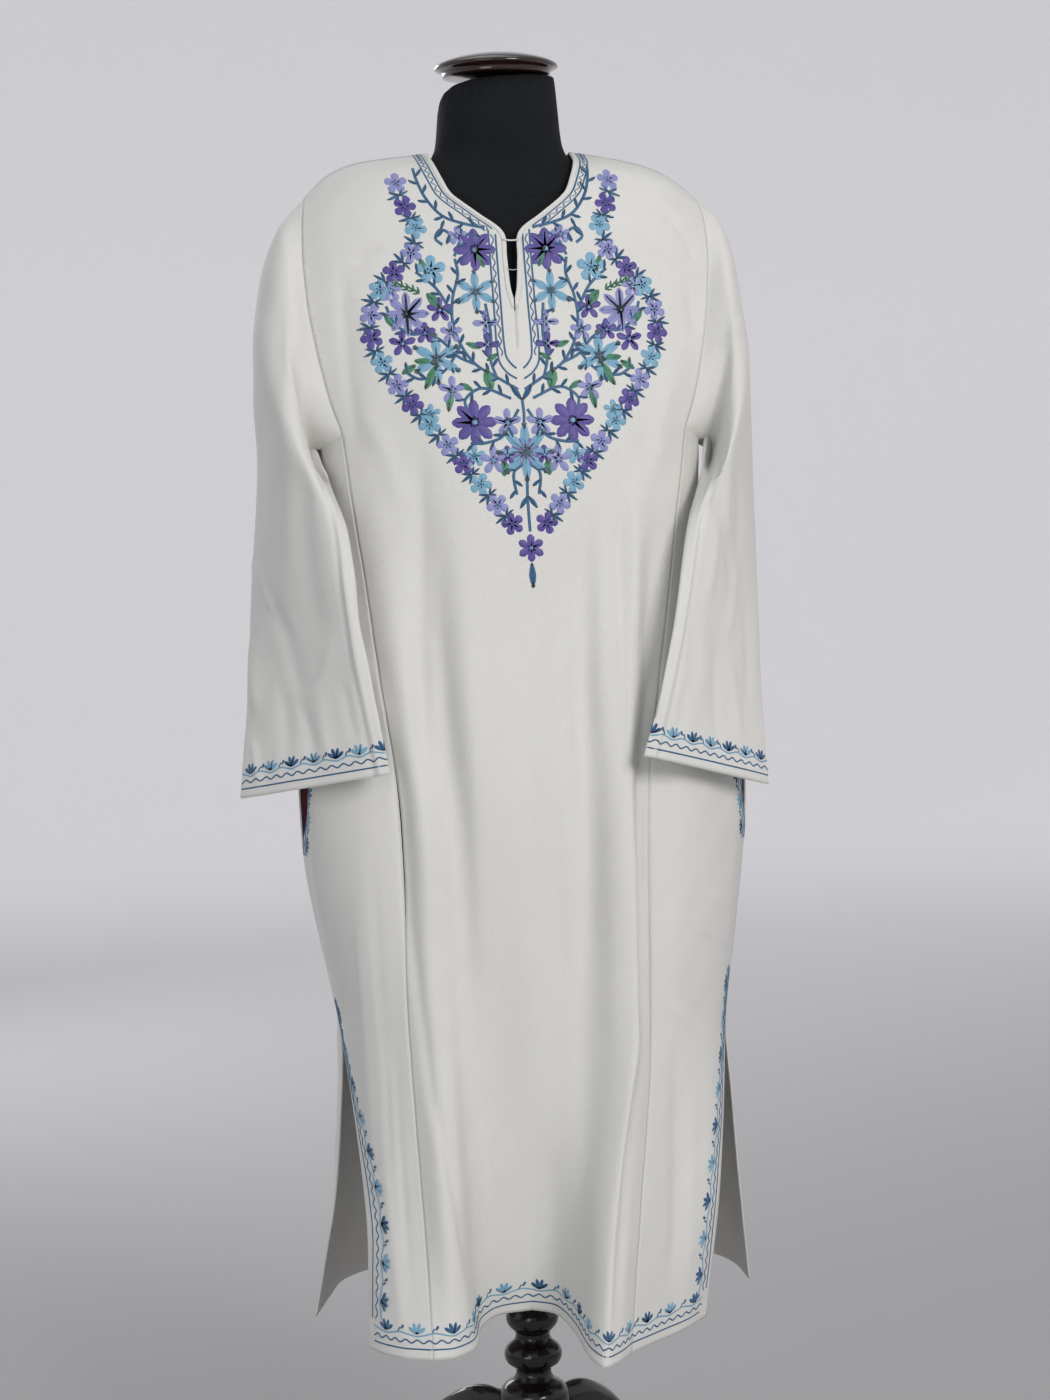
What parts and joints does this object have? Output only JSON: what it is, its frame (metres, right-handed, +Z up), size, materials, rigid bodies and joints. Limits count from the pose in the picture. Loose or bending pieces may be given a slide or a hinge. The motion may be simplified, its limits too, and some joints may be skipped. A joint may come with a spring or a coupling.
{
  "type": "pheran tunic on a limbless dress form with a turned wooden stand",
  "caption": "Long off-white tunic with an embroidered yoke and hems, keyhole neck and side slits, on a black limbless dress form with a neck cap and a turned stand.",
  "frame": {"origin": "on the floor under the middle of the whole outline, 13 mm to the viewer's left of the post's axis", "axes": "+Z up, +X to the viewer's right, the front of the tunic faces -Y"},
  "size_m": [0.5046, 0.42, 1.489],
  "materials": {
    "off_white_cotton": "matt twill with a faint sheen",
    "dark_red_cotton": "plain matt cotton",
    "black_jersey": "matt knitted jersey",
    "blue_thread": "fine wool thread in chain stitch",
    "light_blue_thread": "fine wool thread in chain stitch",
    "lavender_thread": "fine wool thread in chain stitch",
    "purple_thread": "fine wool thread in chain stitch",
    "green_thread": "fine wool thread in chain stitch",
    "black_lacquer": "glossy lacquer over turned wood"
  },
  "bodies": {
    "root": {"front_centre": "off_white_cotton", "front_side_left": "off_white_cotton", "front_side_right": "off_white_cotton", "back_panel": "off_white_cotton", "sleeve_left": "off_white_cotton", "sleeve_right": "off_white_cotton", "neck_binding": "off_white_cotton", "neck_loop": "off_white_cotton", "pocket_left": "dark_red_cotton", "pocket_right": "dark_red_cotton", "form_body": "black_jersey", "neck_cap": "black_lacquer", "post": "black_lacquer", "leg_front_right": "black_lacquer", "leg_back_right": "black_lacquer", "leg_back_left": "black_lacquer", "leg_front_left": "black_lacquer"}
  },
  "joints": []
}
